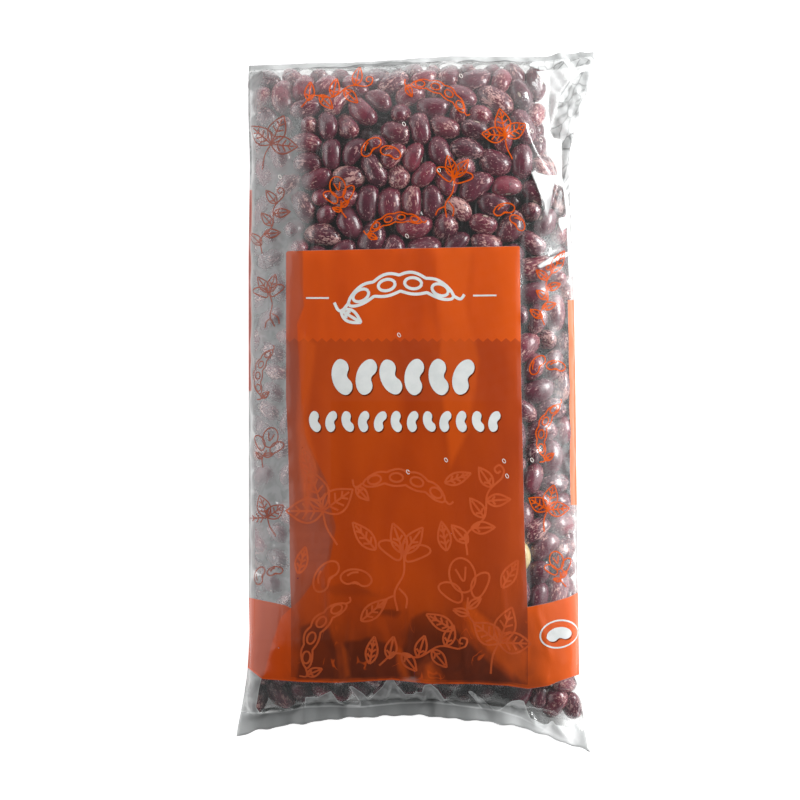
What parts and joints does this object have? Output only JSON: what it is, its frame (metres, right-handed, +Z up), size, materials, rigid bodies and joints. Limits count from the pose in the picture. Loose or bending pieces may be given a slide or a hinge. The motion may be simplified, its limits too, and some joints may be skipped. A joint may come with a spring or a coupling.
{
  "type": "bag of dried beans",
  "caption": "Filled pillow bag of dried beans in clear printed film, lying on its back, with flat sealed ends and a slack empty corner.",
  "frame": {"origin": "middle of the bounding box's footprint, on the table under the bag", "axes": "+X across the bag to the right of its print, +Y along the bag to its top seal, +Z up out of the printed face"},
  "size_m": [0.1622, 0.317, 0.0399],
  "materials": {
    "printed_film": "glossy thin film, clear and orange printed, over beans"
  },
  "bodies": {
    "root": {"bean_bag": "printed_film"}
  },
  "joints": []
}
